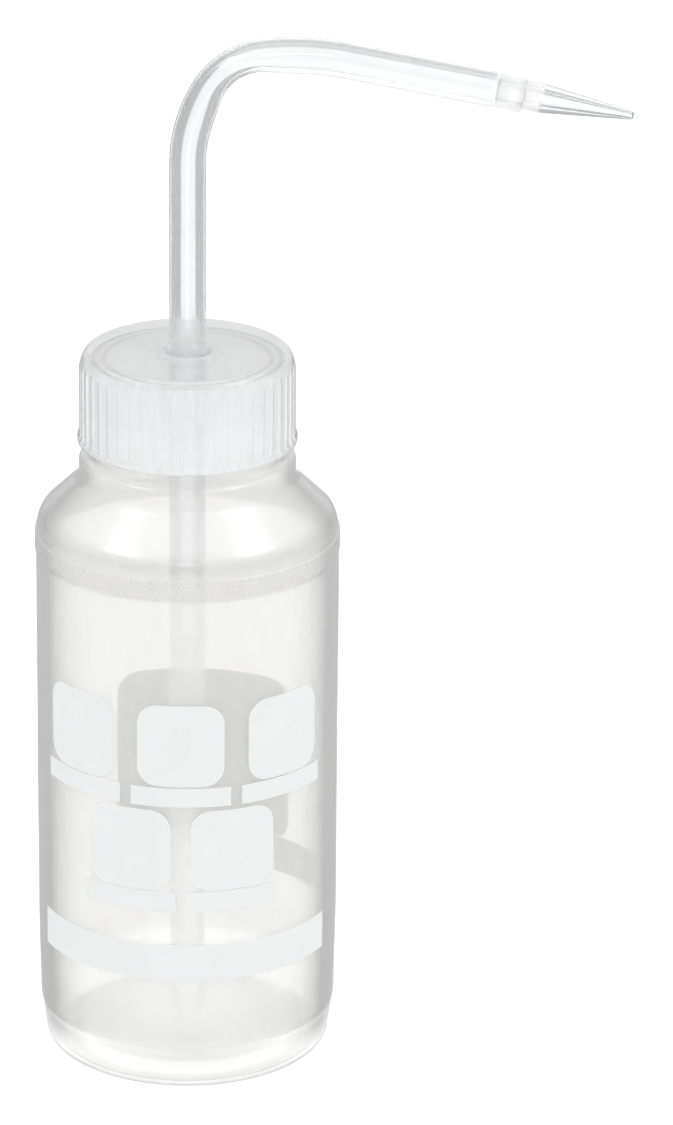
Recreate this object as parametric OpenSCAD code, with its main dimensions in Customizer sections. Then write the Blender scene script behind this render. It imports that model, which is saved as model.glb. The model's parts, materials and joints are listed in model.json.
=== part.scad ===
// Wash bottle: a squeeze bottle with a screw cap, a dip tube, a bent delivery tube and a
// tapered tip. Millimetres. The origin is on the bottle's axis, in the plane it stands on,
// +Z is up and the delivery tube's arm points along +X.

/* [Bottle] */
// Outside diameter of the straight wall
body_d = 75; // [70:0.5:84]
// Wall thickness
wall_t = 1.2; // [0.8:0.1:1.6]
// Height of the lower edge of the raised band under the shoulder
band_z = 131; // [110:1:160]
// Height of the raised band
band_h = 6; // [4:0.5:8]
// How far the raised band stands out
band_rise = 0.3; // [0.1:0.1:0.6]
// Slope of the shoulder, measured from the vertical
shoulder_angle = 46; // [40:1:50]

/* [Neck and cap] */
// Diameter at the root of the neck's thread
neck_d = 45.2; // [44:0.1:46]
// Diameter over the neck's thread
thread_d = 47.5; // [47:0.1:48]
// Rise of the thread in one turn (six threads to the inch)
thread_pitch = 4.2333; // [4:0.0001:4.5]
// Turns of thread on the neck, which is how far the cap turns before it is free
thread_turns = 1.5; // [1.25:0.25:1.5]
// Inside diameter of the mouth
mouth_d = 42; // [40:0.5:42.5]
// Diameter of the cap between its ribs
cap_d = 52.4; // [52:0.1:54]
// Height of the cap
cap_h = 23; // [22.5:0.5:26]
// Number of grip ribs round the cap
rib_count = 48; // [36:1:60]

/* [Tubes] */
// Outside diameter of both tubes
tube_d = 9; // [8:0.1:9.5]
// Bore of both tubes
tube_bore = 6; // [5:0.1:6.4]
// Height of the delivery tube's straight leg above the cap
leg_l = 47.5; // [30:0.5:70]
// Length of the straight arm after the bend
arm_l = 43; // [30:1:60]
// Gap between the dip tube's lower end and the floor of the bottle
dip_gap = 4; // [2:0.5:10]

/* [Tip] */
// Diameter of the tip's collar
collar_d = 7.3; // [7:0.1:8]
// Length of the tip outside the tube
tip_l = 27.3; // [20:0.1:35]
// Diameter of the outlet
outlet_d = 1; // [0.8:0.1:1.2]

/* [Hidden] */
$fn = 96;

// Bottle: levels and radii
body_r = body_d / 2;
foot_r = body_r - 5.1;         // outer edge of the ring it stands on
foot_in_r = body_r - 8.5;      // inner edge of that ring
heel_r = 3.4;                  // radius of the heel's corner
heel_top = 11;                 // top of the smooth heel, where a small edge runs round
heel_step = 0.75;              // how far the heel's top is inside the wall
edge_h = 1.2;                  // the small edge above the heel
edge_step = 0.4;               // how far that edge's top is inside the wall
wall_low = 34;                 // height at which the wall reaches its full diameter
push_up = 2.4;                 // how far the middle of the base is raised
floor_t = 1.5;                 // thickness of the base
neck_t = 1.4;                  // wall thickness inside the ring
shoulder_r = 7;                // radius between the wall and the shoulder
band_top = band_z + band_h;
shoulder_z = band_top + 1;     // where the wall starts to turn in
shoulder_step = 0.25;          // how far the shoulder starts inside the wall
edge_cut = 0.3;                // bevel at the raised band's edges
arc_x = body_r - shoulder_step - shoulder_r;
ring_r = 26.75;                // smooth ring at the foot of the neck
ring_edge = 1.5;               // rounding at the top of that ring
under_r = 24.2;                // plain neck between the ring and the cap
rim_cut = 0.4;                 // bevel at the rim
fillet_r = 4;
neck_r = neck_d / 2;
mouth_r = mouth_d / 2;

// The straight part of the shoulder meets the neck's ring in a fillet centred at this height
fillet_z = shoulder_z + (shoulder_r + fillet_r
    + (arc_x - ring_r - fillet_r) * cos(shoulder_angle)) / sin(shoulder_angle);
ring_top = shoulder_z + 18.7;  // top of the ring
cap_z = ring_top + 3.6;        // lower edge of the cap
cap_top = cap_z + cap_h;
rim_z = cap_top - 3.1;         // top of the bottle's neck

// Cap: levels and radii
cap_r = cap_d / 2;
plate_t = 2;                   // thickness of the cap's top
plate_z = cap_top - plate_t;
cap_bore_r = thread_d / 2 + 0.4;
sleeve_r = 7;                  // sleeve inside the cap that holds the tubes
sleeve_l = 15.4;
stop_t = 1;                    // ring inside the sleeve between the two tubes
stop_z = cap_top - 10;
fit_gap = 0.06;                // radial running clearance of tubes and tip
sink_r = 5.9;                  // countersink round the tube in the cap's top
sink_t = 1;                    // depth of that countersink
skirt_rise = 0.9;              // plain band round the cap's lower edge
skirt_h = 1.2;
rib_r = 0.5;                   // rounding of a grip rib
rib_low = cap_z + 1.5;
rib_h = cap_h - 4.2;
cap_edge = 2.4;                // rounding round the cap's top

// Thread section: the same on neck and cap, set half a pitch apart
thread_low = cap_z + 9.3;
root_w = 2.0;
crest_w = 1.2;
thread_bite = 0.4;             // how deep a thread's root sits in its wall
seg = 10;                      // degrees for each step of the thread

// Tubes: three arcs make the bend
tube_r = tube_d / 2;
bore_r = tube_bore / 2;
bend_z = cap_top + leg_l;
weld_t = 0.3;                  // length of the band that joins two stretches of tube
weld_rise = 0.02;
bend = [[36, 30], [18.7, 54], [67, 16.8]];   // radius and angle of each arc
arm_turn = bend[0][1] + bend[1][1] + bend[2][1];

function arc(cx, cz, r, from, to, n) =
    [for (i = [0:n]) let (a = from + (to - from) * i / n) [cx + r * cos(a), cz + r * sin(a)]];

// Outer outline of the bottle, from the middle of its underside up to the rim
function bottle_outside() = concat(
    [[0, push_up], [foot_in_r - 2.2, push_up - 0.8], [foot_in_r, 0]],
    arc(foot_r, heel_r, heel_r, -90, 0, 6),
    [[body_r - heel_step, heel_top], [body_r - edge_step, heel_top + edge_h]],
    [[body_r, wall_low], [body_r, band_z], [body_r + band_rise, band_z + edge_cut]],
    [[body_r + band_rise, band_top], [body_r - shoulder_step, band_top + edge_cut]],
    arc(arc_x, shoulder_z, shoulder_r, 0, shoulder_angle, 8),
    arc(ring_r + fillet_r, fillet_z, fillet_r, 180 + shoulder_angle, 180, 5),
    arc(ring_r - ring_edge, ring_top - ring_edge, ring_edge, 0, 90, 5),
    [[under_r, ring_top + 0.4], [under_r, cap_z - 0.7], [neck_r, cap_z + 0.9]],
    [[neck_r, rim_z - rim_cut], [neck_r - rim_cut, rim_z]]);

// Inner outline, from the rim down to the middle of the floor
function bottle_inside() = concat(
    [[mouth_r + rim_cut, rim_z], [mouth_r, rim_z - rim_cut], [mouth_r, cap_z - 1.5]],
    [[ring_r - neck_t, ring_top - 1.6], [ring_r - neck_t, fillet_z - 1.7]],
    arc(arc_x, shoulder_z, shoulder_r - wall_t, shoulder_angle, 0, 8),
    [[body_r - wall_t, band_top], [body_r - wall_t, wall_low]],
    [[body_r - wall_t - 0.5, heel_top]],
    arc(foot_r, heel_r, heel_r - wall_t, 0, -90, 5),
    [[foot_in_r, wall_t + 0.3], [foot_in_r - 2.4, push_up + floor_t - 0.7]],
    [[0, push_up + floor_t]]);

// Helical thread with tapered ends; crest_r below root_r makes an inside thread
module thread(root_r, crest_r, z0, turns) {
    n = round(turns * 360 / seg);
    outward = crest_r > root_r;
    deep = root_r + (outward ? -thread_bite : thread_bite);
    function fade(i) = min(1, 0.12 + min(i, n - i) / 4);
    function section(i) = let (
        a = i * seg,
        z = z0 + thread_pitch * a / 360,
        crest = root_r + (crest_r - root_r) * fade(i),
        rz = [[deep, z - root_w / 2], [crest, z - crest_w / 2],
              [crest, z + crest_w / 2], [deep, z + root_w / 2]])
        [for (p = rz) [p[0] * cos(a), p[0] * sin(a), p[1]]];
    points = [for (i = [0:n]) each section(i)];
    sides = [for (i = [0:n - 1], k = [0:3]) let (
        p = 4 * i + k,
        q = 4 * i + (k + 1) % 4) each [[p, q, p + 4], [q, q + 4, p + 4]]];
    caps = [[0, 3, 2], [0, 2, 1], [4 * n, 4 * n + 1, 4 * n + 2], [4 * n, 4 * n + 2, 4 * n + 3]];
    faces = concat(sides, caps);
    polyhedron(points, outward ? faces : [for (f = faces) [f[2], f[1], f[0]]]);
}

module bottle() {
    color([0.93, 0.93, 0.91]) {
        rotate_extrude() polygon(concat(bottle_outside(), bottle_inside()));
        thread(neck_r, thread_d / 2, thread_low, thread_turns);
    }
}

// Printed write-on areas: rounded squares, each with a bar under it, one wide bar, and a
// block and a short bar on the back
panel_t = 0.08;
square_w = 21.4;
bar_w = 24.6;
bar_h = 5;
upper_z = 93.75;
lower_z = 65.85;
wide_z = 35.65;
wide_h = 9.7;
print_turn = -1.2;             // the print's middle, in degrees from the front
corner_r = 5;
row_gap = 0.4;                 // between a square and the bar under it
columns = [[-42.7, 0, 42.7], [-20.3, 20.3]];
back_w = 44;                   // plain block on the back
back_z = 62;
back_angle = 174;
end_w = 21.4;                  // short bar beside that block
end_angle = 128.5;

module panel_shell(z0, z1) {
    translate([0, 0, z0]) difference() {
        cylinder(h = z1 - z0, r = body_r + panel_t);
        translate([0, 0, -1]) cylinder(h = z1 - z0 + 2, r = body_r);
    }
}

module rounded(w, h, r) {
    square([w - 2 * r, h], center = true);
    square([w, h - 2 * r], center = true);
    for (x = [-1, 1], y = [-1, 1])
        translate([x * (w / 2 - r), y * (h / 2 - r)]) circle(r, $fn = 32);
}

// A flat outline wrapped on the wall, centred at an angle from the front
module printed(angle, z, h) {
    intersection() {
        panel_shell(z - h / 2 - 1, z + h / 2 + 1);
        rotate([0, 0, angle]) translate([0, 0, z]) rotate([90, 0, 0])
            linear_extrude(body_r + 5) children();
    }
}

// The wide bar reaches round the wall, so it is a sector of the shell
module wide_bar() {
    half = 66.5;
    far = body_d;
    intersection() {
        panel_shell(wide_z - wide_h / 2, wide_z + wide_h / 2);
        rotate([0, 0, print_turn]) linear_extrude(wide_z + wide_h)
            polygon([[0, 0], [-far * sin(half), -far * cos(half)], [-far, -far], [far, -far],
                     [far * sin(half), -far * cos(half)]]);
    }
}

module print_panels() {
    color([0.87, 0.89, 0.91]) {
        for (row = [0, 1], a = columns[row]) {
            z = row == 0 ? upper_z : lower_z;
            printed(a + print_turn, z, square_w) rounded(square_w, square_w, corner_r);
            printed(a + print_turn, z - square_w / 2 - bar_h / 2 - row_gap, bar_h)
                square([row == 0 ? bar_w : bar_w - 1, bar_h], center = true);
        }
        wide_bar();
        printed(back_angle, back_z, back_w) rounded(back_w, back_w, corner_r);
        printed(end_angle, wide_z, wide_h) square([end_w, wide_h], center = true);
    }
}

function cap_outside() = concat(
    [[0, cap_z], [cap_r + skirt_rise, cap_z], [cap_r + skirt_rise, cap_z + skirt_h]],
    [[cap_r, cap_z + skirt_h + 0.6]],
    arc(cap_r - cap_edge - 0.2, cap_top - cap_edge, cap_edge, 0, 90, 6),
    [[0, cap_top]]);

module cap() {
    color([0.90, 0.92, 0.93]) {
        difference() {
            union() {
                rotate_extrude() polygon(cap_outside());
                for (i = [0:rib_count - 1])
                    rotate([0, 0, i * 360 / rib_count]) translate([cap_r - 0.1, 0, rib_low])
                        cylinder(h = rib_h, r = rib_r, $fn = 16);
            }
            translate([0, 0, cap_z - 1]) cylinder(h = plate_z - cap_z + 1, r = cap_bore_r);
            translate([0, 0, plate_z - 1]) cylinder(h = plate_t + 2, r = tube_r + fit_gap);
            translate([0, 0, cap_top - sink_t])
                cylinder(h = sink_t + 0.01, r1 = tube_r + fit_gap, r2 = sink_r);
        }
        difference() {
            translate([0, 0, plate_z - sleeve_l]) cylinder(h = sleeve_l + 0.5, r = sleeve_r);
            translate([0, 0, plate_z - sleeve_l - 1])
                cylinder(h = stop_z - plate_z + sleeve_l + 1, r = tube_r + fit_gap);
            translate([0, 0, stop_z - 1]) cylinder(h = stop_t + 2, r = bore_r);
            translate([0, 0, stop_z + stop_t])
                cylinder(h = sleeve_l, r = tube_r + fit_gap);
        }
        thread(cap_bore_r, neck_r + 0.4, thread_low - thread_pitch / 2, thread_turns - 0.25);
    }
}

// Flat ring between the rim and the underside of the cap's top
module seal_ring() {
    color([0.95, 0.95, 0.94])
        translate([0, 0, rim_z]) difference() {
            cylinder(h = plate_z - rim_z, r = cap_bore_r - 0.4);
            translate([0, 0, -1]) cylinder(h = 4, r = mouth_r - 1.2);
        }
}

module dip_tube() {
    dip_z = push_up + floor_t + dip_gap;
    color([0.90, 0.91, 0.92])
        translate([0, 0, dip_z]) difference() {
            cylinder(h = stop_z - dip_z, r = tube_r);
            translate([0, 0, -1]) cylinder(h = stop_z - dip_z + 2, r = bore_r);
        }
}

// Places its children where arc i of the bend ends
module arc_step(i) {
    radius = bend[i][0];
    translate([radius, 0, 0]) rotate([0, bend[i][1], 0]) translate([-radius, 0, 0]) children();
}

// One arc of the bend, then a thin band over its end that makes one solid of both stretches
module arc_piece(i, r) {
    radius = bend[i][0];
    translate([radius, 0, 0]) rotate([-90, 0, 0]) rotate([0, 0, 180])
        rotate_extrude(angle = bend[i][1]) translate([radius, 0]) circle(r);
    arc_step(i) weld(r);
}

module weld(r) {
    translate([0, 0, -weld_t / 2]) cylinder(h = weld_t, r = r + weld_rise);
}

module tube_path(r, low, extra) {
    translate([0, 0, low]) cylinder(h = bend_z - low, r = r);
    translate([0, 0, bend_z]) {
        weld(r);
        arc_piece(0, r);
        arc_step(0) {
            arc_piece(1, r);
            arc_step(1) {
                arc_piece(2, r);
                arc_step(2) cylinder(h = arm_l + extra, r = r);
            }
        }
    }
}

module delivery_tube() {
    low = stop_z + stop_t;
    color([0.91, 0.92, 0.93]) difference() {
        tube_path(tube_r, low, 0);
        tube_path(bore_r, low - 1, 1);
    }
}

// Places its children at the tube's open end, with +Z along the arm
module at_tube_end() {
    translate([0, 0, bend_z])
        arc_step(0) arc_step(1) arc_step(2) translate([0, 0, arm_l]) children();
}

module tip_nozzle() {
    collar_r = collar_d / 2;
    outlet_r = outlet_d / 2;
    plug_l = 6.5;
    collar_l = 4.4;
    nose_r = 1.1;
    throat_r = 1.7;
    outside = concat(
        [[throat_r, -plug_l], [bore_r - fit_gap, -plug_l], [bore_r - fit_gap, 0]],
        [[collar_r, 0], [collar_r, collar_l]],
        arc(0, tip_l - nose_r, nose_r, 5, 55, 5));
    inside = [[outlet_r, tip_l - 0.2], [throat_r, collar_l]];
    color([0.90, 0.91, 0.92])
        at_tube_end() rotate_extrude() polygon(concat(outside, inside));
}

bottle();
print_panels();
cap();
seal_ring();
dip_tube();
delivery_tube();
tip_nozzle();
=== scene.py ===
import json
import math

import bpy
from mathutils import Matrix, Vector, noise


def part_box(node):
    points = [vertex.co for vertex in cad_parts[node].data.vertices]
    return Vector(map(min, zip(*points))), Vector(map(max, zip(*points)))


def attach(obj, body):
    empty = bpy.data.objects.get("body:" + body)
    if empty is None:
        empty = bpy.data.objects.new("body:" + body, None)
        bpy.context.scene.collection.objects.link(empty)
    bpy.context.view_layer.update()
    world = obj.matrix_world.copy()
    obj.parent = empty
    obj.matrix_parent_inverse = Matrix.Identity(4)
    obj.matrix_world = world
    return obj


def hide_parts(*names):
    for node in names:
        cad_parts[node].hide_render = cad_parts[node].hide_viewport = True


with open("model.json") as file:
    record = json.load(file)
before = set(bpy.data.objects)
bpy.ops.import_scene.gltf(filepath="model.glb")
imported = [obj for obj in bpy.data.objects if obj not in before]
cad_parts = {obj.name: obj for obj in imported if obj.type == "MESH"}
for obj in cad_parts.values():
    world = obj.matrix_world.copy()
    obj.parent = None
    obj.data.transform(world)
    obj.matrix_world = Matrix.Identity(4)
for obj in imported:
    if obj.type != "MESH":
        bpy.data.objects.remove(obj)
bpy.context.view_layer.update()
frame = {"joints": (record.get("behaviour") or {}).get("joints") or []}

# All design sizes below are in millimetres; meshes are scaled to metres when they are made.
MM = 0.001


def cad_box(name):
    """Lowest and highest corner of a CAD node, in millimetres."""
    lo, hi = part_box(name)
    return lo / MM, hi / MM


bottle_hi = cad_box("bottle")[1]
cap_lo, cap_hi = cad_box("cap")
seal_lo, seal_hi = cad_box("seal_ring")
dip_lo, dip_hi = cad_box("dip_tube")
arm_axis = Vector(next(j["axis"] for j in frame["joints"] if j["name"] == "tip_pull"))

# Bottle
BAND_RISE = 0.3
BODY_R = bottle_hi.y - BAND_RISE
RIM_Z = bottle_hi.z
WALL_T = 1.2
FLOOR_T = 1.5
PUSH_UP = 2.4
HEEL_R = 3.4
FOOT_R = BODY_R - 5.1
FOOT_IN_R = BODY_R - 8.5
HEEL_TOP = 11.0
WALL_LOW = 34.0
BAND_Z = 131.0
BAND_TOP = 137.0
SHOULDER_Z = BAND_TOP + 1.0
SHOULDER_R = 7.0
SHOULDER_ANGLE = 46.0
ARC_X = BODY_R - 0.25 - SHOULDER_R
RING_R = 26.75
FILLET_R = 4.0
NECK_R = 22.6
UNDER_R = 24.2
MOUTH_R = 21.0
NECK_T = 1.4
SLOPE = math.radians(SHOULDER_ANGLE)
FILLET_Z = SHOULDER_Z + (
    SHOULDER_R + FILLET_R + (ARC_X - RING_R - FILLET_R) * math.cos(SLOPE)
) / math.sin(SLOPE)
SEAM_W = 0.7
SEAM_H = 0.05
WAVE_START = 14.0
WAVE_IN = 12.0
WAVE_OUT = 8.0
BOTTLE_SEGS = 360

# Cap
CAP_Z = cap_lo.z
CAP_TOP = cap_hi.z
RING_TOP = CAP_Z - 3.6
SKIRT_R = cap_hi.y
CAP_R = SKIRT_R - 0.9
CAP_BORE_R = 24.15
PLATE_Z = CAP_TOP - 2.0
SLEEVE_R = 7.0
SLEEVE_Z = PLATE_Z - 15.4
STOP_Z = dip_hi.z
STOP_T = 1.0
SINK_R = 5.9
RIBS = 48
RIB_H = 0.42
RIB_SEGS = 9
SEAL_SEGS = 160

# Thread
PITCH = 4.2333
THREAD_LOW = CAP_Z + 9.3
THREAD_TURNS = 1.5
THREAD_ROOT = 2.0
THREAD_CREST = 1.2
THREAD_H = 1.15
THREAD_LEAD = 35.0

# Tubes and tip
TUBE_R = dip_hi.y
BORE_R = 3.0
FIT = 0.06
BEND_Z = CAP_TOP + 47.5
BEND = ((36.0, 30.0), (18.7, 54.0), (67.0, 16.8))
ARM_L = 43.0
FLAT_IN = 1.5
TIP_L = 27.3
PLUG_L = 6.5
COLLAR_R = 3.65
COLLAR_L = 4.4
NOSE_R = 1.1
THROAT_R = 1.7
OUTLET_R = 0.5
TUBE_SEGS = 72
TUBE_EDGE = 0.12

# Print
PANEL_OUT = 0.07
PANEL_IN = 0.02
ROW_STEP = 2.2
COLUMN_STEP = 0.9
CORNER_STEPS = 7
ARC_COLUMNS = 80


# ---------------------------------------------------------------- mesh helpers


def arc(cx, cz, r, start, end, n):
    """Points along an arc, angles in degrees."""
    out = []
    for i in range(n + 1):
        a = math.radians(start + (end - start) * i / n)
        out.append((cx + r * math.cos(a), cz + r * math.sin(a)))
    return out


def stepped(points, step):
    """The same line with no stretch longer than step."""
    out = [points[0]]
    for a, b in zip(points, points[1:]):
        length = math.hypot(b[0] - a[0], b[1] - a[1])
        n = max(1, math.ceil(length / step))
        for i in range(1, n + 1):
            t = i / n
            out.append((a[0] + (b[0] - a[0]) * t, a[1] + (b[1] - a[1]) * t))
    return out


def soften(points, radius, n=3, closed=True):
    """Rounds each corner of an outline by up to radius."""
    out = []
    count = len(points)
    for i, p in enumerate(points):
        if not closed and i in (0, count - 1):
            out.append(p)
            continue
        a = Vector(points[i - 1])
        b = Vector(p)
        c = Vector(points[(i + 1) % count])
        back = a - b
        ahead = c - b
        if back.length < 1e-6 or ahead.length < 1e-6 or back.angle(ahead) > math.radians(176):
            out.append(p)
            continue
        cut = min(radius, back.length * 0.45, ahead.length * 0.45)
        p0 = b + back.normalized() * cut
        p1 = b + ahead.normalized() * cut
        for k in range(n + 1):
            t = k / n
            q = p0 * (1 - t) ** 2 + b * 2 * t * (1 - t) + p1 * t ** 2
            out.append((q.x, q.y))
    return out


def make_object(name, verts, faces, sharp=50):
    """A smooth-shaded object from points in millimetres."""
    mesh = bpy.data.meshes.new(name)
    mesh.from_pydata([(x * MM, y * MM, z * MM) for x, y, z in verts], [], faces)
    mesh.update()
    mesh.validate()
    for poly in mesh.polygons:
        poly.use_smooth = True
    mesh.set_sharp_from_angle(angle=math.radians(sharp))
    obj = bpy.data.objects.new(name, mesh)
    bpy.context.scene.collection.objects.link(obj)
    return obj


def ring_faces(first, second, n):
    """Quads between two rings of n points."""
    out = []
    for k in range(n):
        j = (k + 1) % n
        out.append((first + k, first + j, second + j, second + k))
    return out


def lathe(name, outline, segs, shape=None, closed=False, sharp=50):
    """Turns an outline of (radius, height) round Z. shape may move each point."""
    verts = []
    starts = []
    for r, z in outline:
        starts.append((len(verts), r < 1e-6))
        if r < 1e-6:
            verts.append((0.0, 0.0, z))
            continue
        for k in range(segs):
            a = 2 * math.pi * k / segs
            rr, zz = shape(a, r, z) if shape else (r, z)
            verts.append((rr * math.cos(a), rr * math.sin(a), zz))
    faces = []
    pairs = list(zip(starts, starts[1:]))
    if closed:
        pairs.append((starts[-1], starts[0]))
    for (a, pole_a), (b, pole_b) in pairs:
        if pole_a:
            faces += [(a, b + (k + 1) % segs, b + k) for k in range(segs)]
        elif pole_b:
            faces += [(a + k, a + (k + 1) % segs, b) for k in range(segs)]
        else:
            faces += ring_faces(a, b, segs)
    return make_object(name, verts, faces, sharp)


def smooth01(t):
    """0 to 1 with a smooth start and end."""
    t = min(1.0, max(0.0, t))
    return t * t * (3 - 2 * t)


def thread_height(angle, z, low, turns):
    """How much of its full height the thread has at this place."""
    best = 0.0
    for k in range(int(turns) + 1):
        a = angle + 2 * math.pi * k
        if a > turns * 2 * math.pi:
            continue
        off = abs(z - low - PITCH * a / (2 * math.pi))
        side = (THREAD_ROOT / 2 - off) / ((THREAD_ROOT - THREAD_CREST) / 2)
        lead = min(a, turns * 2 * math.pi - a) / math.radians(THREAD_LEAD)
        best = max(best, smooth01(side) * smooth01(lead))
    return best


# ---------------------------------------------------------------- bottle


def wall_wave(x, y, z):
    """The slight unevenness of a blown wall, in millimetres."""
    p = Vector((x, y, z))
    return 0.09 * noise.noise(p * 0.035) + 0.03 * noise.noise(p * 0.11)


def wave_share(z):
    """How much of the unevenness shows at a height: none at the heel and just under the band."""
    return smooth01((z - WAVE_START) / WAVE_IN) * smooth01((BAND_Z - 1 - z) / WAVE_OUT)


def wall_radius(angle, z):
    """Outer radius of the straight wall at an angle from +X."""
    x = BODY_R * math.cos(angle)
    y = BODY_R * math.sin(angle)
    return BODY_R + wall_wave(x, y, z) * wave_share(z)


def bottle_outside():
    """The outside from the middle of the base up to the rim, as (radius, height)."""
    foot = [(0, PUSH_UP), (FOOT_IN_R - 2.2, PUSH_UP - 0.8), (FOOT_IN_R - 0.5, 0.25)]
    foot += [(FOOT_IN_R + 0.4, 0.0)]
    heel = arc(FOOT_R, HEEL_R, HEEL_R, -90, 0, 10)
    edge = [(BODY_R - 0.75, HEEL_TOP), (BODY_R - 0.5, HEEL_TOP + 0.45)]
    edge += [(BODY_R - 0.4, HEEL_TOP + 1.2)]
    low = stepped(soften(foot, 0.8, closed=False) + heel + edge, 2.5)
    wall = stepped([(BODY_R - 0.4, HEEL_TOP + 1.2), (BODY_R, WALL_LOW), (BODY_R, BAND_Z)], 2.4)
    band = [(BODY_R, BAND_Z), (BODY_R + BAND_RISE, BAND_Z + 1.6)]
    band += [(BODY_R + BAND_RISE, BAND_TOP), (BODY_R - 0.25, BAND_TOP + 0.3)]
    band = stepped(soften(band, 0.15, 2, closed=False), 0.42)
    shoulder = arc(ARC_X, SHOULDER_Z, SHOULDER_R, 0, SHOULDER_ANGLE, 14)
    fillet = arc(RING_R + FILLET_R, FILLET_Z, FILLET_R, 180 + SHOULDER_ANGLE, 180, 8)
    shoulder = stepped(shoulder + fillet, 1.2)
    ring = arc(RING_R - 1.5, RING_TOP - 1.5, 1.5, 0, 90, 8)
    under = [(UNDER_R, RING_TOP + 0.4), (UNDER_R, CAP_Z - 0.7), (NECK_R, CAP_Z + 0.9)]
    neck = soften(ring[-1:] + under + [(NECK_R, THREAD_LOW - 2)], 0.35, closed=False)
    top = stepped([(NECK_R, THREAD_LOW - 2), (NECK_R, RIM_Z - 0.4)], 0.3)
    rim = [(NECK_R - 0.12, RIM_Z - 0.12), (NECK_R - 0.4, RIM_Z)]
    return low + wall[1:] + band[1:] + shoulder + ring + neck[1:] + top[1:] + rim


def bottle_inside():
    """The inside from the rim down to the middle of the floor."""
    rim = [(MOUTH_R + 0.4, RIM_Z), (MOUTH_R + 0.12, RIM_Z - 0.12), (MOUTH_R, RIM_Z - 0.4)]
    neck = [(MOUTH_R, RIM_Z - 0.4), (MOUTH_R, CAP_Z - 1.5), (RING_R - NECK_T, RING_TOP - 1.6)]
    neck += [(RING_R - NECK_T, FILLET_Z - 1.7)]
    neck += arc(ARC_X, SHOULDER_Z, SHOULDER_R - WALL_T, SHOULDER_ANGLE, 0, 12)
    wall = [(BODY_R - WALL_T, BAND_TOP), (BODY_R - WALL_T, WALL_LOW)]
    wall += [(BODY_R - WALL_T - 0.5, HEEL_TOP)]
    heel = arc(FOOT_R, HEEL_R, HEEL_R - WALL_T, 0, -90, 9)
    floor = [(FOOT_IN_R, WALL_T + 0.3), (FOOT_IN_R - 2.4, PUSH_UP + FLOOR_T - 0.7)]
    neck = soften(neck, 0.9, closed=False)
    low = soften(wall + heel + floor + [(0, PUSH_UP + FLOOR_T)], 0.9, closed=False)
    return rim[:2] + stepped(neck, 2.0) + stepped(low, 4.0)


def bottle_shape(outer_rows):
    """Moves the outer wall's points: thread, grained band, uneven wall and mould seam."""

    def shape(angle, r, z):
        x = r * math.cos(angle)
        y = r * math.sin(angle)
        outside = (round(r, 5), round(z, 5)) in outer_rows
        if outside and z > THREAD_LOW - 2 and r > NECK_R - 0.05:
            return r + THREAD_H * thread_height(angle, z, THREAD_LOW, THREAD_TURNS), z
        if outside and BAND_Z + 0.2 < z < BAND_TOP - 0.3 and r > BODY_R:
            p = Vector((x, y, z))
            grain = noise.noise(p * 1.25) + 0.6 * noise.noise(p * 2.4)
            return r - 0.04 + 0.04 * grain, z
        if HEEL_TOP < z < BAND_Z and r > BODY_R - WALL_T - 0.6:
            r += wall_wave(x, y, z) * wave_share(z)
        if outside and HEEL_TOP < z < BAND_Z:
            r += SEAM_H * smooth01(1 - abs(y) / SEAM_W)
        return r, z

    return shape


def build_bottle():
    outer = bottle_outside()
    rows = set((round(r, 5), round(z, 5)) for r, z in outer)
    outline = outer + bottle_inside()
    return lathe("bottle_shell", outline, BOTTLE_SEGS, bottle_shape(rows), sharp=60)


# ---------------------------------------------------------------- print


def plate(verts, faces, columns, rows, z_mid):
    """Adds a thin curved plate. Each column is (angle round the axis, half its height)."""
    start = len(verts)
    for around, reach in columns:
        for i in range(rows + 1):
            z = z_mid - reach + 2 * reach * i / rows
            base = wall_radius(around, z)
            for r in (base + PANEL_OUT, base + PANEL_IN):
                verts.append((r * math.cos(around), r * math.sin(around), z))

    def at(col, row, side):
        return start + (col * (rows + 1) + row) * 2 + side

    last = len(columns) - 1
    for c in range(last):
        for i in range(rows):
            faces.append((at(c, i, 0), at(c + 1, i, 0), at(c + 1, i + 1, 0), at(c, i + 1, 0)))
            faces.append((at(c, i, 1), at(c, i + 1, 1), at(c + 1, i + 1, 1), at(c + 1, i, 1)))
        faces.append((at(c, 0, 1), at(c + 1, 0, 1), at(c + 1, 0, 0), at(c, 0, 0)))
        faces.append((at(c, rows, 0), at(c + 1, rows, 0), at(c + 1, rows, 1), at(c, rows, 1)))
    for i in range(rows):
        faces.append((at(0, i, 1), at(0, i, 0), at(0, i + 1, 0), at(0, i + 1, 1)))
        faces.append((at(last, i, 0), at(last, i, 1), at(last, i + 1, 1), at(last, i + 1, 0)))


def rows_for(height):
    """How many rows a printed area of this height is split into."""
    return max(2, round(height / ROW_STEP))


def panel(verts, faces, angle, z_mid, width, height, corner):
    """Adds one printed area with rounded corners, or square ones where corner is 0."""
    half = width / 2
    inner = half - corner
    steps = CORNER_STEPS if corner else 0
    side = [-half]
    if corner:
        side = [
            -half + corner * (1 - math.cos(math.pi / 2 * i / steps)) for i in range(steps + 1)
        ]
    n = max(2, round(2 * inner / COLUMN_STEP))
    xs = side + [-inner + 2 * inner * i / n for i in range(1, n)]
    xs += [-x for x in reversed(side)]
    columns = []
    for x in xs:
        reach = height / 2
        beyond = abs(x) - inner
        if corner and beyond > 0:
            reach -= corner - math.sqrt(max(0.0, corner ** 2 - beyond ** 2))
        columns.append((math.radians(angle - 90) + math.asin(x / BODY_R), reach))
    plate(verts, faces, columns, rows_for(height), z_mid)


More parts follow.
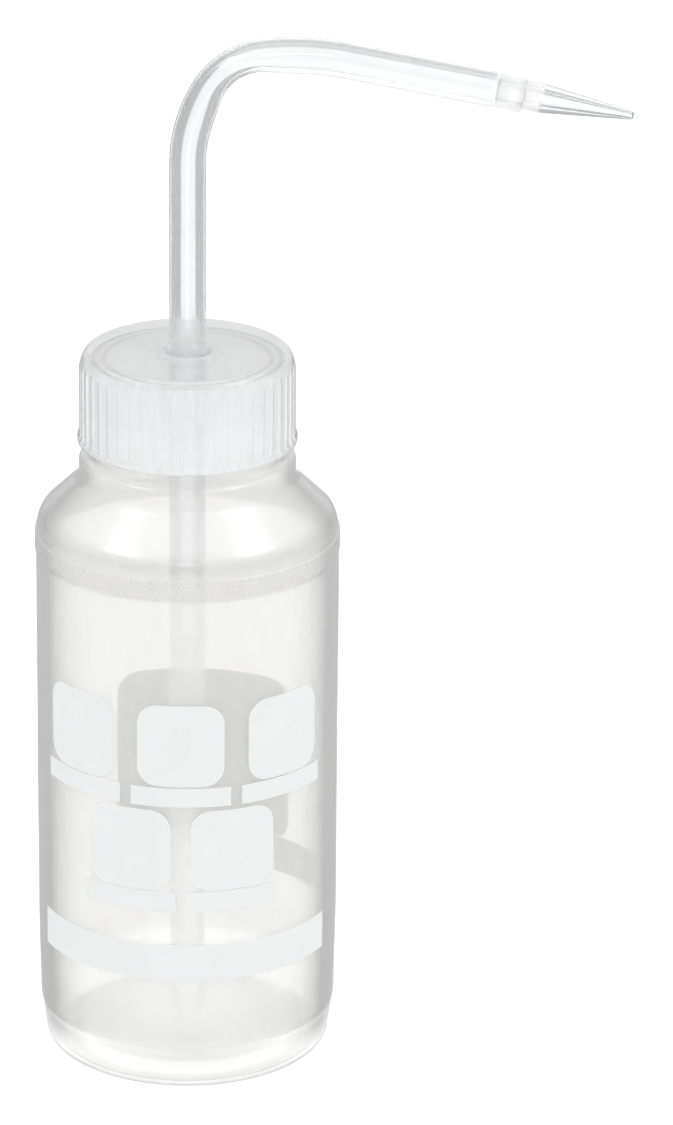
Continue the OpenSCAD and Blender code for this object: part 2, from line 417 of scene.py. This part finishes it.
def arc_panel(verts, faces, middle, half_angle, z_mid, height):
    """Adds a printed bar that reaches far round the wall."""
    columns = []
    for c in range(ARC_COLUMNS + 1):
        turn = middle - 90 - half_angle + 2 * half_angle * c / ARC_COLUMNS
        columns.append((math.radians(turn), height / 2))
    plate(verts, faces, columns, rows_for(height), z_mid)


SQUARE_W = 21.4
BAR_W = 24.6
BAR_H = 5.0
ROW_GAP = 0.4
CORNER_R = 5.0
UPPER_Z = 93.75
LOWER_Z = 65.85
WIDE_Z = 35.65
WIDE_H = 9.7
WIDE_HALF = 66.5
TURN = -1.2
COLUMNS = ((UPPER_Z, BAR_W, (-42.7, 0.0, 42.7)), (LOWER_Z, BAR_W - 1, (-20.3, 20.3)))
BACK_W = 44.0
BACK_Z = 62.0
BACK_ANGLE = 174.0
END_W = 21.4
END_ANGLE = 128.5


def build_front_print():
    verts = []
    faces = []
    for z, bar_w, angles in COLUMNS:
        for a in angles:
            panel(verts, faces, a + TURN, z, SQUARE_W, SQUARE_W, CORNER_R)
            low = z - SQUARE_W / 2 - BAR_H / 2 - ROW_GAP
            panel(verts, faces, a + TURN, low, bar_w, BAR_H, 0.0)
    arc_panel(verts, faces, TURN, WIDE_HALF, WIDE_Z, WIDE_H)
    return make_object("front_print", verts, faces, sharp=40)


def build_back_print():
    verts = []
    faces = []
    panel(verts, faces, BACK_ANGLE, BACK_Z, BACK_W, BACK_W, CORNER_R)
    panel(verts, faces, END_ANGLE, WIDE_Z, END_W, WIDE_H, 0.0)
    return make_object("back_print", verts, faces, sharp=40)


# ---------------------------------------------------------------- cap


def cap_outline():
    """The cap's closed outline, once round: outside, top, sleeve, underside, bore."""
    out = [(SKIRT_R - 0.25, CAP_Z), (SKIRT_R, CAP_Z + 0.25), (SKIRT_R, CAP_Z + 1.1)]
    out += [(CAP_R, CAP_Z + 1.8)]
    side = stepped([(CAP_R, CAP_Z + 1.8), (CAP_R, CAP_TOP - 2.4)], 0.9)
    top_edge = arc(CAP_R - 2.6, CAP_TOP - 2.4, 2.4, 0, 90, 10)
    lip = [(SINK_R + 1.1, CAP_TOP), (SINK_R + 0.8, CAP_TOP + 0.12)]
    lip += [(SINK_R + 0.25, CAP_TOP + 0.12)]
    sink = [(SINK_R - 0.1, CAP_TOP - 0.1), (TUBE_R + FIT + 0.15, CAP_TOP - 1.0)]
    hole = [(TUBE_R + FIT, CAP_TOP - 1.15), (TUBE_R + FIT, STOP_Z + STOP_T)]
    stop = [(BORE_R, STOP_Z + STOP_T), (BORE_R, STOP_Z), (TUBE_R + FIT, STOP_Z)]
    sleeve = [(TUBE_R + FIT, SLEEVE_Z + 0.5), (TUBE_R + 0.5, SLEEVE_Z), (SLEEVE_R - 0.3, SLEEVE_Z)]
    sleeve += [(SLEEVE_R, SLEEVE_Z + 0.3), (SLEEVE_R, PLATE_Z - 0.6), (SLEEVE_R + 0.6, PLATE_Z)]
    under = [(CAP_BORE_R - 0.5, PLATE_Z), (CAP_BORE_R, PLATE_Z - 0.5)]
    plain = [(CAP_BORE_R, CAP_Z + 0.4), (CAP_BORE_R + 0.3, CAP_Z)]
    flat = stepped([top_edge[-1]] + lip[:1], 3.0)
    bore = stepped([under[-1], plain[0]], 0.3)
    inner = stepped(lip + sink + hole + stop + sleeve + under[:1], 4.0)
    return out + side[1:] + top_edge[1:] + flat[1:-1] + inner + bore + plain[1:]


def rib_height(angle):
    """A rib's height at this angle, as a share of its full height."""
    t = (angle * RIBS / (2 * math.pi) + 0.5) % 1.0 - 0.5
    return smooth01(1 - abs(t) / 0.26)


def cap_shape(angle, r, z):
    """Raises the ribs outside and the thread inside."""
    if r > CAP_R - 0.01 and CAP_Z + 1.7 < z < CAP_TOP - 2.3:
        top = CAP_TOP - 2.9
        fade = smooth01((top - z) / 1.2 + 0.2)
        return r + RIB_H * rib_height(angle) * fade, z
    if abs(r - CAP_BORE_R) < 0.01 and z < PLATE_Z - 0.4:
        low = THREAD_LOW - PITCH / 2
        return r - THREAD_H * thread_height(angle, z, low, THREAD_TURNS - 0.25), z
    return r, z


def build_cap():
    return lathe("cap_shell", cap_outline(), RIBS * RIB_SEGS, cap_shape, closed=True, sharp=55)


def build_seal():
    inner = MOUTH_R - 1.2
    outer = CAP_BORE_R - 0.4
    low = seal_lo.z
    high = seal_hi.z
    mid = (inner + outer) / 2
    outline = [(outer, low), (outer, high), (mid + 0.5, high), (mid, high - 0.25)]
    outline += [(mid - 0.5, high), (inner, high), (inner, low)]
    return lathe("seal_washer", soften(outline, 0.18), SEAL_SEGS, closed=True)


# ---------------------------------------------------------------- tubes and tip


def build_dip_tube():
    low = dip_lo.z
    high = dip_hi.z
    outline = [(BORE_R, low), (TUBE_R, low), (TUBE_R, high), (BORE_R, high)]
    outline = soften(outline, 0.3)
    outline = stepped(outline + outline[:1], 12)[:-1]
    return lathe("dip_tube_clear", outline, TUBE_SEGS, closed=True)


def tube_stations():
    """Places along the delivery tube: (point, lean, length so far). Lean is from +Z to +X."""
    start = STOP_Z + STOP_T
    out = []
    leg = BEND_Z - start
    n = 14
    for i in range(n):
        out.append((Vector((0, 0, start + leg * i / n)), 0.0, leg * i / n))
    point = Vector((0, 0, BEND_Z))
    lean = 0.0
    length = leg
    for radius, angle in BEND:
        turn = math.radians(angle)
        steps = max(8, round(radius * turn / 1.1))
        centre = point + radius * Vector((math.cos(lean), 0, -math.sin(lean)))
        for i in range(steps):
            a = lean + turn * i / steps
            at = centre - radius * Vector((math.cos(a), 0, -math.sin(a)))
            out.append((at, a, length + radius * turn * i / steps))
        lean += turn
        point = centre - radius * Vector((math.cos(lean), 0, -math.sin(lean)))
        length += radius * turn
    ahead = Vector((math.sin(lean), 0, math.cos(lean)))
    n = 12
    for i in range(n + 1):
        out.append((point + ahead * ARM_L * i / n, lean, length + ARM_L * i / n))
    return out


def flat_share(length):
    """How flattened the bend's inner side is, from 0 to 1: most in the middle of the tight arc."""
    start = BEND_Z - STOP_Z - STOP_T + math.radians(BEND[0][1]) * BEND[0][0]
    tight = math.radians(BEND[1][1]) * BEND[1][0]
    middle = start + tight / 2
    return smooth01(1 - abs(length - middle) / (tight * 0.95))


def sweep_ring(verts, station, radius):
    """Adds one ring of the tube's section, flattened on the inner side of the bend."""
    point, lean, length = station
    inward = Vector((math.cos(lean), 0, -math.sin(lean)))
    share = flat_share(length)
    for k in range(TUBE_SEGS):
        a = 2 * math.pi * k / TUBE_SEGS
        u = radius * math.cos(a)
        v = radius * math.sin(a)
        if u > 0:
            u *= 1 - FLAT_IN * share / radius
        v *= 1 + 0.03 * share
        p = point + inward * u + Vector((0, 1, 0)) * v
        verts.append(p[:])


def shifted(station, by):
    """The same place a little further along the tube."""
    point, lean, length = station
    ahead = Vector((math.sin(lean), 0, math.cos(lean)))
    return (point + ahead * by, lean, length + by)


def build_delivery_tube():
    """The tube's outside from foot to end, then its bore back to the foot."""
    stations = tube_stations()
    first = stations[0]
    last = stations[-1]
    edge = TUBE_EDGE
    rings = [(first, TUBE_R - edge), (shifted(first, 0.04), TUBE_R - 0.04)]
    rings += [(shifted(first, edge), TUBE_R)]
    rings += [(s, TUBE_R) for s in stations[1:-1]]
    rings += [(shifted(last, -edge), TUBE_R), (shifted(last, -0.04), TUBE_R - 0.04)]
    rings += [(last, TUBE_R - edge), (last, BORE_R + edge), (shifted(last, -edge), BORE_R)]
    rings += [(s, BORE_R) for s in reversed(stations[1:-1])]
    rings += [(shifted(first, edge), BORE_R), (first, BORE_R + edge)]
    verts = []
    for station, radius in rings:
        sweep_ring(verts, station, radius)
    faces = []
    for i in range(len(rings)):
        j = (i + 1) % len(rings)
        faces += ring_faces(i * TUBE_SEGS, j * TUBE_SEGS, TUBE_SEGS)
    return make_object("delivery_tube_clear", verts, faces, sharp=50)


def build_tip():
    """The tip is turned round its own axis, then set on the tube's end."""
    plug_r = BORE_R - FIT
    out = [(THROAT_R, -PLUG_L), (plug_r - 0.2, -PLUG_L), (plug_r, -PLUG_L + 0.5)]
    out += [(plug_r, -0.05), (COLLAR_R, 0.02), (COLLAR_R, COLLAR_L)]
    out = soften(out + arc(0, TIP_L - NOSE_R, NOSE_R, 5, 55, 6), 0.25, closed=False)
    bore = [(OUTLET_R, TIP_L - 0.2), (THROAT_R, COLLAR_L)]
    outline = stepped(out + bore + out[:1], 2.0)[:-1]
    obj = lathe("tip_clear", outline, TUBE_SEGS, closed=True, sharp=35)
    end = tube_stations()[-1][0]
    turn = Vector((0, 0, 1)).rotation_difference(arm_axis).to_matrix().to_4x4()
    obj.data.transform(Matrix.Translation(end * MM) @ turn)
    return obj


# ---------------------------------------------------------------- materials


class Tree:
    """A short way to write a material's nodes."""

    def __init__(self, owner):
        owner.use_nodes = True
        self.nt = owner.node_tree
        self.nt.nodes.clear()

    def add(self, kind, props=None, **values):
        """A new node with its properties and inputs set."""
        n = self.nt.nodes.new("ShaderNode" + kind)
        for key, value in (props or {}).items():
            setattr(n, key, value)
        for key, value in values.items():
            self.put(n.inputs[key.replace("_", " ")], value)
        return n

    def put(self, socket, value):
        """Links a socket to an input, or sets the input's value."""
        if isinstance(value, bpy.types.NodeSocket):
            self.nt.links.new(value, socket)
        else:
            socket.default_value = value

    def maths(self, kind, a, b=0.0, clamp=False):
        n = self.nt.nodes.new("ShaderNodeMath")
        n.operation = kind
        n.use_clamp = clamp
        self.put(n.inputs[0], a)
        self.put(n.inputs[1], b)
        return n.outputs[0]

    def noise(self, scale, detail=3.0, rough=0.5, stretch=None):
        where = self.place()
        if stretch:
            m = self.add("Mapping", Scale=stretch)
            self.put(m.inputs["Vector"], where)
            where = m.outputs[0]
        n = self.add("TexNoise", Vector=where, Scale=scale, Detail=detail, Roughness=rough)
        return n.outputs["Fac"]

    def spread(self, value, low, high, start=0.3, end=0.7):
        """Maps a noise value from start..end to low..high."""
        n = self.add("MapRange", From_Min=start, From_Max=end, To_Min=low, To_Max=high)
        self.put(n.inputs["Value"], value)
        return n.outputs["Result"]

    def blend(self, factor, a, b):
        """Mixes two shaders: a at 0 and b at 1."""
        n = self.nt.nodes.new("ShaderNodeMixShader")
        self.put(n.inputs[0], factor)
        self.nt.links.new(a, n.inputs[1])
        self.nt.links.new(b, n.inputs[2])
        return n.outputs[0]

    def tint(self, factor, a, b):
        """Mixes two colours."""
        n = self.nt.nodes.new("ShaderNodeMix")
        n.data_type = "RGBA"
        self.put(n.inputs[0], factor)
        self.put(n.inputs[6], a)
        self.put(n.inputs[7], b)
        return n.outputs[2]

    def bump(self, height, distance, strength):
        return self.add("Bump", Height=height, Distance=distance, Strength=strength).outputs[0]

    def place(self):
        """Where the shaded point lies in the object's own frame, in metres."""
        return self.add("TexCoord").outputs["Object"]

    def height(self):
        return self.add("SeparateXYZ", Vector=self.place()).outputs["Z"]

    def zone(self, value, begin, full, fade, end):
        """1 between full and fade and 0 outside begin and end, all four in millimetres."""
        into = self.spread(value, 0, 1, begin * MM, full * MM)
        out_of = self.spread(value, 1, 0, fade * MM, end * MM)
        return self.maths("MULTIPLY", into, out_of)

    def finish(self, shader, kind="Material"):
        out = self.nt.nodes.new("ShaderNodeOutput" + kind)
        self.nt.links.new(shader, out.inputs["Surface"])


WHITE = (1.0, 1.0, 1.0, 1.0)
HAZE_ROUGH = 0.2
HAZE_GRAIN = 0.1
GLOSS_LEAST = 0.035
GLOSS_MOST = 0.9
GLOSS_INSIDE = 0.3
TRANSLUCENT_SHARE = 0.45


def scaled(colour, by):
    """A colour made darker or lighter, with its alpha kept at 1."""
    return tuple(c * by for c in colour[:3]) + (1,)


def bottle_zones(t, milk, colour, dim):
    """The wall is clearer above the band and at the heel, grained in the band, and greyer where
    it is thick: in the band and just above the heel. Just above the band, on the shoulder's arc,
    a painted dark reflection makes it greyer too."""
    z = t.height()
    milk = t.maths("MULTIPLY", milk, t.spread(z, 1.0, 0.6, BAND_TOP * MM, (BAND_TOP + 6) * MM))
    clearer = t.spread(z, 0.35, 1.0, HEEL_TOP * MM, (HEEL_TOP + 1.5) * MM)
    milk = t.maths("MULTIPLY", milk, clearer)
    inside = t.zone(z, BAND_Z + 0.1, BAND_Z + 0.5, BAND_TOP - 0.2, BAND_TOP + 0.3)
    speck = t.spread(t.noise(2800, 2, 0.7), 0.0, 0.25)
    milk = t.maths("ADD", milk, t.maths("MULTIPLY", inside, speck))
    # Painted dark reflection: the shoulder's arc just above the band is tinted greyer in both its
    # clear and its milky share.
    above = t.zone(z, BAND_TOP - 1, BAND_TOP + 2, BAND_TOP + 3, BAND_TOP + 6.5)
    foot = t.zone(z, HEEL_TOP, HEEL_TOP + 1.5, HEEL_TOP + 5, HEEL_TOP + 14)
    veil = t.tint(above, WHITE, (0.9, 0.9, 0.9, 1))
    veil = t.tint(inside, veil, (0.91, 0.91, 0.91, 1))
    veil = t.tint(foot, veil, (0.93, 0.93, 0.925, 1))
    # The band's grey is its own; the grey just above it is the painted dark reflection.
    colour = t.tint(t.maths("MAXIMUM", inside, above), colour, scaled(dim, 0.93))
    return milk, colour, veil


def cap_streaks(t, milk, colour, dim):
    """The cap has faint upright streaks and a fine frost."""
    streak = t.noise(420, 3, 0.6, stretch=(1, 1, 0.06))
    frost = t.spread(t.noise(2600, 2, 0.6), -0.03, 0.03)
    milk = t.maths("ADD", milk, t.spread(streak, -0.04, 0.04, 0.35, 0.65))
    milk = t.maths("ADD", milk, frost)
    veil = t.tint(t.spread(streak, 0, 1), WHITE, (0.98, 0.985, 0.99, 1))
    return milk, colour, veil


def hazy_plastic(name, pale, dim, haze, edge, detail):
    """Hazy see-through plastic: part clear, part milky, and mirror-like where seen edge on.
    haze is the milky share's range, edge the edge gloss's strength and power, and detail the
    function that adds what is special to the piece."""
    mat = bpy.data.materials.new(name)
    t = Tree(mat)
    cloud = t.noise(38, 4, 0.55)
    flow = t.noise(120, 3, 0.6, stretch=(1, 1, 0.25))
    fine = t.noise(1400, 3, 0.6)
    colour = t.tint(t.spread(cloud, 0, 1), pale, dim)
    fine_height = t.maths("MULTIPLY", fine, HAZE_GRAIN)
    height = t.maths("ADD", fine_height, t.maths("MULTIPLY", flow, 0.8))
    normal = t.bump(height, 0.00003, 0.4)
    milk = t.maths("ADD", t.spread(cloud, *haze), t.spread(flow, -0.02, 0.02))
    milk, colour, veil = detail(t, milk, colour, dim)
    front = t.add("BsdfDiffuse", Color=colour, Normal=normal).outputs[0]
    back = t.add("BsdfTranslucent", Color=colour, Normal=normal).outputs[0]
    hole = t.add("BsdfTransparent", Color=veil).outputs[0]
    body = t.blend(milk, hole, t.blend(TRANSLUCENT_SHARE, front, back))
    facing = t.add("LayerWeight", Blend=0.5).outputs["Facing"]
    rim = t.maths("MULTIPLY", t.maths("POWER", facing, edge[1]), edge[0])
    inner = t.add("NewGeometry").outputs["Backfacing"]
    rim = t.maths("MULTIPLY", rim, t.spread(inner, 1, GLOSS_INSIDE, 0, 1))
    shine = t.maths("MINIMUM", t.maths("ADD", rim, GLOSS_LEAST), GLOSS_MOST)
    rough = t.spread(fine, HAZE_ROUGH - 0.04, HAZE_ROUGH + 0.06)
    gloss = t.add("BsdfGlossy", Color=WHITE, Roughness=rough, Normal=normal).outputs[0]
    t.finish(t.blend(shine, body, gloss))
    return mat


STRAIGHT_SHARE = 0.6


def past_arm_end(t):
    """How far a place lies past the delivery tube's end, along the arm, in metres."""
    dot = t.add("VectorMath", {"operation": "DOT_PRODUCT"})
    t.put(dot.inputs[0], t.place())
    dot.inputs[1].default_value = arm_axis
    end = tube_stations()[-1][0] * MM
    return t.maths("SUBTRACT", dot.outputs["Value"], end.dot(arm_axis))


def wetted_joint(t):
    """The share of light that crosses the joint of tube and tip unbent: they touch there."""
    past = past_arm_end(t)
    begin = t.spread(past, 0, STRAIGHT_SHARE, (-PLUG_L - 1.5) * MM, -PLUG_L * MM)
    end = t.spread(past, 1, 0, (COLLAR_L - 0.2) * MM, (COLLAR_L + 0.3) * MM)
    return t.maths("MULTIPLY", begin, end)


def sunk_foot(t):
    """The share of light that crosses the delivery tube unbent: most at its foot in the cap."""
    return t.spread(t.height(), STRAIGHT_SHARE, 0, (CAP_TOP + 2) * MM, (CAP_TOP + 11) * MM)


def tube_share(t):
    """The delivery tube's unbent share: at the tip's joint and at its foot."""
    return t.maths("MAXIMUM", wetted_joint(t), sunk_foot(t))


def dip_share(t):
    """The dip tube's unbent share, the same all over."""
    return STRAIGHT_SHARE


CLEAR_TONE = (0.975, 0.98, 0.985, 1)
CLEAR_IOR = 1.5
# The painted shade colour at the nose's edges.
NOSE_EDGE_SHADE = (0.45, 0.46, 0.47, 1)


def nose_painted_edge_shade(t, colour):
    """Painted shade: the tip's solid nose is painted darker where it is seen edge on, standing for
    the dark rim that refraction gives a clear solid.
    """
    nose = t.spread(past_arm_end(t), 0, 1, COLLAR_L * MM, (COLLAR_L + 0.3) * MM)
    edge_on = t.add("LayerWeight", Blend=0.5).outputs["Facing"]
    return t.tint(t.maths("MULTIPLY", nose, edge_on), colour, NOSE_EDGE_SHADE)


def clear_plastic(name, milk, rough, straight, veil=WHITE, edges=None):
    """Nearly clear plastic that bends light, with a little haze. straight gives the share let
    through unbent, veil is that light's tint at each surface, and edges, where given, paints shade
    into the colour where the surface is seen edge on."""
    mat = bpy.data.materials.new(name)
    t = Tree(mat)
    cloud = t.noise(55, 3, 0.5)
    fine = t.noise(900, 2, 0.5)
    pale = scaled(CLEAR_TONE, 1.02)
    colour = t.tint(t.spread(cloud, 0, 1), pale, scaled(CLEAR_TONE, 0.97))
    if edges:
        colour = edges(t, colour)
    height = t.maths("ADD", cloud, t.maths("MULTIPLY", fine, 0.1))
    normal = t.bump(height, 0.00012, 0.35)
    rough = t.spread(fine, rough * 0.8, rough * 1.3)
    p = t.add("BsdfPrincipled", Base_Color=colour, Roughness=rough, Normal=normal)
    p.inputs["IOR"].default_value = CLEAR_IOR
    p.inputs["Transmission Weight"].default_value = 1 - milk
    hole = t.add("BsdfTransparent", Color=veil).outputs[0]
    t.finish(t.blend(straight(t), p.outputs[0], hole))
    return mat


def ink(name, pale, dim):
    """Screen-printed ink with fine specks where the plastic shows through."""
    mat = bpy.data.materials.new(name)
    t = Tree(mat)
    cloud = t.noise(90, 3, 0.6)
    speck = t.noise(1500, 2, 0.7)
    colour = t.tint(t.spread(cloud, 0, 1), pale, dim)
    pit = t.spread(speck, 0, 0.35, 0.62, 0.72)
    colour = t.tint(pit, colour, scaled(dim, 0.8))
    normal = t.bump(speck, 0.00004, 0.4)
    p = t.add("BsdfPrincipled", Base_Color=colour, Normal=normal)
    p.inputs["Roughness"].default_value = 0.55
    t.finish(p.outputs[0])
    return mat


def soft_seal(name):
    """Soft, faintly mottled polyethylene."""
    mat = bpy.data.materials.new(name)
    t = Tree(mat)
    cloud = t.noise(200, 3, 0.6)
    colour = t.tint(t.spread(cloud, 0, 1), (0.84, 0.84, 0.82, 1), (0.77, 0.77, 0.75, 1))
    normal = t.bump(t.noise(1800, 2, 0.6), 0.00003, 0.5)
    p = t.add("BsdfPrincipled", Base_Color=colour, Normal=normal)
    p.inputs["Roughness"].default_value = 0.5
    p.inputs["Transmission Weight"].default_value = 0.3
    t.finish(p.outputs[0])
    return mat


# ---------------------------------------------------------------- stage


FLOOR_SIZE = 9.0
FLOOR_CELLS = 24
FLOOR_GLOW = 0.7
FLOOR_GLOW_SHADED = 0.22
SIDE_SHADE_START = 0.03
SIDE_SHADE_FULL = 0.045
SIDE_SHADE_SLANT = 0.13
UNDER_SHADE_SHARE = 0.7
ROOM_LEVEL = 0.95
ROOM_DARK = 0.42


def make_floor():
    """A plain pale floor, as a grid of cells."""
    n = FLOOR_CELLS
    steps = [FLOOR_SIZE * (i / n - 0.5) for i in range(n + 1)]
    verts = [(x, y, 0) for y in steps for x in steps]
    faces = []
    for j in range(n):
        for i in range(n):
            a = j * (n + 1) + i
            faces.append((a, a + 1, a + n + 2, a + n + 1))
    mesh = bpy.data.meshes.new("floor")
    mesh.from_pydata(verts, [], faces)
    obj = bpy.data.objects.new("floor", mesh)
    bpy.context.scene.collection.objects.link(obj)
    mesh.materials.append(pale_floor())


def pale_floor():
    """Pale paper. Seen by reflection and refraction it is painted darker out to the sides, as
    painted shade, and a painted contact shadow lies round the ring the bottle stands on."""
    mat = bpy.data.materials.new("pale_floor")
    t = Tree(mat)
    where = t.place()
    xyz = t.add("SeparateXYZ", Vector=where)
    # Painted shade: the floor is painted darker out to the sides, seen only by bent and mirrored
    # rays.
    reach = t.maths("MULTIPLY", t.maths("ABSOLUTE", xyz.outputs["Y"]), SIDE_SHADE_SLANT)
    past = t.maths("SUBTRACT", t.maths("ABSOLUTE", xyz.outputs["X"]), reach)
    shade_zone = t.spread(past, 0, 1, SIDE_SHADE_START, SIDE_SHADE_FULL)
    out = t.add("VectorMath", {"operation": "LENGTH"})
    t.put(out.inputs[0], where)
    out = out.outputs["Value"]
    # Painted contact shadow on the floor in the ring between the bottle's foot and its outer edge.
    under = t.spread(out, UNDER_SHADE_SHARE, 0, (BODY_R - 1) * MM, (BODY_R + 0.5) * MM)
    rim = t.spread(out, 0, 1, (FOOT_R - 3) * MM, (FOOT_R - 1) * MM)
    shade_zone = t.maths("MAXIMUM", shade_zone, t.maths("MULTIPLY", under, rim))
    dim = t.maths("MULTIPLY", shade_zone, bent_or_mirrored(t))
    paper = t.spread(t.noise(60, 3, 0.5), 0.0, 0.02)
    # The darker tone and the weaker glow below are the painted shade and contact shadow.
    tone = t.tint(dim, (0.45, 0.45, 0.45, 1), (0.2, 0.2, 0.2, 1))
    tone = t.tint(paper, tone, (0.4, 0.4, 0.4, 1))
    p = t.add("BsdfPrincipled", Base_Color=tone, Roughness=0.7)
    glow = t.spread(dim, FLOOR_GLOW, FLOOR_GLOW_SHADED, 0, 1)
    t.put(p.inputs["Emission Strength"], glow)
    p.inputs["Emission Color"].default_value = (1, 1, 1, 1)
    t.finish(p.outputs[0])
    return mat


def bent_or_mirrored(t):
    """1 for a ray that glass has bent or a gloss has mirrored, and 0 for the rest."""
    path = t.add("LightPath")
    bent = t.maths("ADD", path.outputs["Is Glossy Ray"], path.outputs["Is Transmission Ray"])
    return t.maths("SUBTRACT", bent, path.outputs["Diffuse Depth"], clamp=True)


def make_world():
    """An even white room whose walls look grey where they are mirrored or seen bent."""
    world = bpy.data.worlds.new("studio")
    bpy.context.scene.world = world
    t = Tree(world)
    where = t.add("TexCoord").outputs["Generated"]
    xyz = t.add("SeparateXYZ", Vector=where)
    low = t.spread(xyz.outputs["Z"], 1, 0, 0.45, 0.9)
    low = t.maths("MULTIPLY", low, t.spread(xyz.outputs["Y"], 1, 0.5, 0.8, 0.95))
    dark = t.maths("MULTIPLY", low, bent_or_mirrored(t))
    level = t.spread(dark, ROOM_LEVEL, ROOM_DARK, 0, 1)
    seen = t.add("LightPath").outputs["Is Camera Ray"]
    level = t.maths("MAXIMUM", level, seen)
    t.finish(t.add("Background", Color=WHITE, Strength=level).outputs[0], "World")


LIGHT_AIM = (0, 0, 0.12)


def softbox(name, spot, size, power):
    """A rectangular light aimed at the middle of the bottle."""
    data = bpy.data.lights.new(name, "AREA")
    data.shape = "RECTANGLE"
    data.size = size[0]
    data.size_y = size[1]
    data.energy = power
    obj = bpy.data.objects.new(name, data)
    obj.location = spot
    ahead = Vector(LIGHT_AIM) - Vector(spot)
    obj.rotation_euler = ahead.to_track_quat("-Z", "Y").to_euler()
    bpy.context.scene.collection.objects.link(obj)


def make_lights():
    """Three soft lights: one on each side and a weak one in front."""
    softbox("softbox_left", (-1.1, -0.5, 1.5), (0.8, 0.5), 6.5)
    softbox("softbox_right", (1.1, -0.4, 1.5), (0.8, 0.5), 8.5)
    softbox("softbox_front", (0.0, -1.9, 1.3), (0.5, 0.4), 2)


LENS = 200.0
CAM_X = 0.0369
CAM_Y = -1.4435
CAM_Z = 0.6878
CAM_PITCH = 21.2
CAM_ROLL = 0.53


def make_camera():
    """The photograph's long lens, from in front and above."""
    data = bpy.data.cameras.new("camera")
    data.lens = LENS
    data.sensor_width = 36.0
    data.clip_start = 0.05
    data.clip_end = 30.0
    obj = bpy.data.objects.new("camera", data)
    look = Matrix.Rotation(math.radians(90 - CAM_PITCH), 4, "X")
    roll = Matrix.Rotation(math.radians(CAM_ROLL), 4, "Z")
    obj.matrix_world = Matrix.Translation((CAM_X, CAM_Y, CAM_Z)) @ look @ roll
    bpy.context.scene.collection.objects.link(obj)
    bpy.context.scene.camera = obj


# ---------------------------------------------------------------- assembly


def place(obj, material, body, node):
    """Gives a piece its material, the body it rides on and the CAD node it stands in for."""
    obj.data.materials.append(material)
    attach(obj, body)
    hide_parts(node)


def set_light_paths():
    """Enough bounces for light to pass through all the nested clear walls."""
    scene = bpy.context.scene
    scene.view_settings.view_transform = "Standard"
    scene.cycles.max_bounces = 32
    scene.cycles.diffuse_bounces = 16
    scene.cycles.glossy_bounces = 8
    scene.cycles.transmission_bounces = 20
    scene.cycles.transparent_max_bounces = 32


def milky_polyethylene():
    pale = (0.96, 0.955, 0.945, 1)
    dim = (0.935, 0.93, 0.92, 1)
    return hazy_plastic("milky_polyethylene", pale, dim, (0.33, 0.385), (7.0, 4.6), bottle_zones)


def milky_polypropylene():
    pale = (0.95, 0.955, 0.96, 1)
    dim = (0.92, 0.925, 0.935, 1)
    return hazy_plastic("milky_polypropylene", pale, dim, (0.5, 0.56), (1.9, 3.2), cap_streaks)


def clear_tubing():
    return clear_plastic("clear_tubing", 0.1, 0.08, tube_share)


def clear_moulding():
    return clear_plastic("clear_moulding", 0.03, 0.03, wetted_joint, edges=nose_painted_edge_shade)


def dip_tubing():
    return clear_plastic("dip_tubing", 0.1, 0.08, dip_share, (0.965, 0.97, 0.972, 1))


def pale_ink():
    return ink("pale_ink", (0.70, 0.712, 0.715, 1), (0.675, 0.687, 0.69, 1))


# Painted shade: the back print is the same white ink as the front print; its grey stands for the
# ink blocking the light from behind.
def back_ink_painted_shade():
    return ink("back_ink_painted_shade", (0.35, 0.36, 0.36, 1), (0.33, 0.34, 0.34, 1))


def main():
    make_camera()
    make_world()
    make_lights()
    make_floor()
    set_light_paths()
    place(build_bottle(), milky_polyethylene(), "bottle", "bottle")
    place(build_front_print(), pale_ink(), "bottle", "print_panels")
    # The back print's dark ink colour is painted shade.
    place(build_back_print(), back_ink_painted_shade(), "bottle", "print_panels")
    place(build_cap(), milky_polypropylene(), "cap", "cap")
    place(build_seal(), soft_seal("soft_seal"), "cap", "seal_ring")
    place(build_dip_tube(), dip_tubing(), "dip_tube", "dip_tube")
    tube = build_delivery_tube()
    place(tube, clear_tubing(), "delivery_tube", "delivery_tube")
    place(build_tip(), clear_moulding(), "tip", "tip_nozzle")


main()
